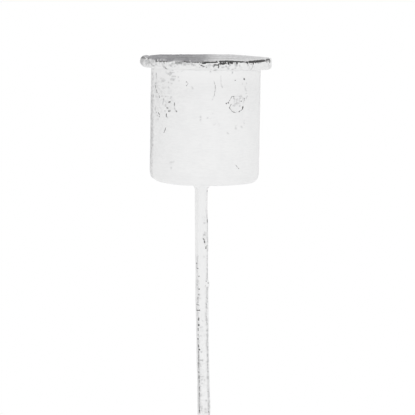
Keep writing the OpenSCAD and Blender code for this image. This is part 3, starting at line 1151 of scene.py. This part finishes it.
def rubbed_paint(name, streak, chip_size, dashes=(1, 1, 1), painted_light_lift=0.0):
    """White paint over primer and iron: worn where the mesh says so, broken up by fine noise."""
    s = Shader(name)
    to_primer, to_iron = worn_through(s, chip_size, dashes)
    brushed = s.noise(0.5, detail=3.0, stretch=streak)
    ground = s.mix(s.field("bare"), soiled_and_shaded_white(s, brushed, dashes, painted_light_lift), bare_zinc(s))
    iron = s.mix(s.ramp(s.noise(0.35, detail=3.0), 0.42, 0.66), IRON, IRON_PALE)
    rough = s.blend(s.ramp(s.noise(0.8, detail=2.0), 0.35, 0.65), *PAINT_ROUGH)
    rough = s.blend(to_primer, rough, PRIMER_ROUGH)
    surface = s.add("ShaderNodeBsdfPrincipled")
    s.feed(surface.inputs["Base Color"], s.mix(to_iron, s.mix(to_primer, ground, PRIMER), iron))
    s.feed(surface.inputs["Roughness"], s.blend(to_iron, rough, IRON_ROUGH))
    s.feed(surface.inputs["Normal"], relief(s, to_primer, to_iron, brushed))
    surface.inputs["Specular IOR Level"].default_value = GLOSS
    s.show(surface.outputs["BSDF"])
    return s.material


def blank_white(tree):
    """1 for the rays that should see plain white."""
    rays = tree.nodes.new("ShaderNodeLightPath").outputs
    seen = rays["Is Camera Ray"]
    for kind in ("Is Glossy Ray", "Is Transmission Ray"):
        either = tree.nodes.new("ShaderNodeMath")
        either.operation = "MAXIMUM"
        tree.links.new(seen, either.inputs[0])
        tree.links.new(rays[kind], either.inputs[1])
        seen = either.outputs[0]
    return seen


# Studio

AMBIENT = 0.84
FLOOR_R = 12.0
# Metres from the tip between which the floor fades to white
FLOOR_FADE = (0.15, 0.50)
RIM = Vector((AXIS_X, 0, RING_Z)) * MM
PAPER = (0.93, 0.93, 0.93)
PAPER_PALE = (0.95, 0.95, 0.95)
# Lamps: place and side in metres, and what each adds to a white that faces it
LAMPS = {
    "front_lamp": ((0.15, -2.25, 0.35), 0.6, 0.07),
    "top_lamp": ((0.1, -0.3, 2.2), 1.2, 0.24),
}


def make_floor():
    """Plain pale floor at the tip's level that fades to white away from the object."""
    turn = np.arange(96) / 96 * TAU
    points = [(FLOOR_R * math.cos(a), FLOOR_R * math.sin(a), 0) for a in turn]
    mesh = bpy.data.meshes.new("floor")
    mesh.from_pydata(points, [], [tuple(range(len(points)))])
    floor = placed("floor", mesh)
    s = Shader("pale_floor")
    distance = s.add("ShaderNodeVectorMath", operation="LENGTH")
    s.feed(distance.inputs[0], s.place)
    far = s.ramp(distance.outputs["Value"], *FLOOR_FADE)
    paper = s.add("ShaderNodeBsdfDiffuse")
    s.feed(paper.inputs["Color"], s.mix(s.noise(40, detail=3.0), PAPER, PAPER_PALE))
    both = s.add("ShaderNodeMixShader")
    s.feed(both.inputs[0], s.math("MULTIPLY", far, blank_white(s.tree)))
    s.feed(both.inputs[1], paper.outputs[0])
    s.feed(both.inputs[2], s.add("ShaderNodeEmission").outputs[0])
    s.show(both.outputs[0])
    mesh.materials.append(s.material)


def make_world():
    """White to the camera, with an even light of its own on the object."""
    world = bpy.data.worlds.new("studio")
    world.use_nodes = True
    bpy.context.scene.world = world
    tree = world.node_tree
    tree.nodes.clear()
    light = tree.nodes.new("ShaderNodeBackground")
    light.inputs["Strength"].default_value = AMBIENT
    white = tree.nodes.new("ShaderNodeBackground")
    for node in (light, white):
        node.inputs["Color"].default_value = (1, 1, 1, 1)
    both = tree.nodes.new("ShaderNodeMixShader")
    tree.links.new(blank_white(tree), both.inputs[0])
    tree.links.new(light.outputs[0], both.inputs[1])
    tree.links.new(white.outputs[0], both.inputs[2])
    out = tree.nodes.new("ShaderNodeOutputWorld")
    tree.links.new(both.outputs[0], out.inputs["Surface"])


def make_lamp(name, place, size, share):
    """Square soft lamp aimed at the cup. Its share is what it adds to a white that faces it."""
    place = Vector(place)
    data = bpy.data.lights.new(name, "AREA")
    data.shape = "SQUARE"
    data.size = size
    data.energy = share * math.pi ** 2 * (place - RIM).length_squared
    lamp = placed(name, data)
    lamp.matrix_world = Matrix.LocRotScale(place, (RIM - place).to_track_quat("-Z", "Y"), None)
    lamp.visible_camera = False


# Camera: level with the rim and a little above it, far off, with a slight roll

SENSOR = 36
PIXEL = 1 / 4.394
FRAME_PIXELS = 415
RISE = math.radians(3.6)
ROLL = math.radians(0.9)
AWAY = 1.5
RIM_PLACE = (205.9, 61.8)


def make_camera():
    data = bpy.data.cameras.new("camera")
    data.sensor_width = SENSOR
    data.lens = SENSOR * AWAY / (FRAME_PIXELS * PIXEL * MM)
    data.clip_start, data.clip_end = 0.1, 30
    camera = placed("camera", data)
    back = Vector((0, -math.cos(RISE), math.sin(RISE)))
    level_up = Vector((0, math.sin(RISE), math.cos(RISE)))
    level_right = Vector((1, 0, 0))
    right = math.cos(ROLL) * level_right + math.sin(ROLL) * level_up
    up = math.cos(ROLL) * level_up - math.sin(ROLL) * level_right
    target = RIM + right * (FRAME_PIXELS / 2 - RIM_PLACE[0]) * PIXEL * MM
    target = target - up * (FRAME_PIXELS / 2 - RIM_PLACE[1]) * PIXEL * MM
    turn = Matrix((right, up, back)).transposed().to_4x4()
    camera.matrix_world = Matrix.Translation(target + back * AWAY) @ turn
    bpy.context.scene.camera = camera


bpy.context.scene.view_settings.view_transform = "Standard"
make_camera()
make_world()
for lamp_name, settings in LAMPS.items():
    make_lamp(lamp_name, *settings)
make_floor()
cup_paint = rubbed_paint("cup_paint", (3.0, 3.0, 0.35), 0.24, (1.6, 1.6, 0.8))
rim_paint = rubbed_paint("rim_paint", (1.5, 1.5, 0.6), 0.22)
# Painted light: the bar and weld get a whiter copy of the paint, against the shade under the cup
bar_paint = rubbed_paint("bar_paint", (0.5, 0.5, 3.0), 0.20, painted_light_lift=0.03)
for make, paint in (
    (make_cup, cup_paint), (make_ring, rim_paint), (make_braze, rim_paint),
    (make_bar, bar_paint), (make_weld, bar_paint),
):
    make().data.materials.append(paint)
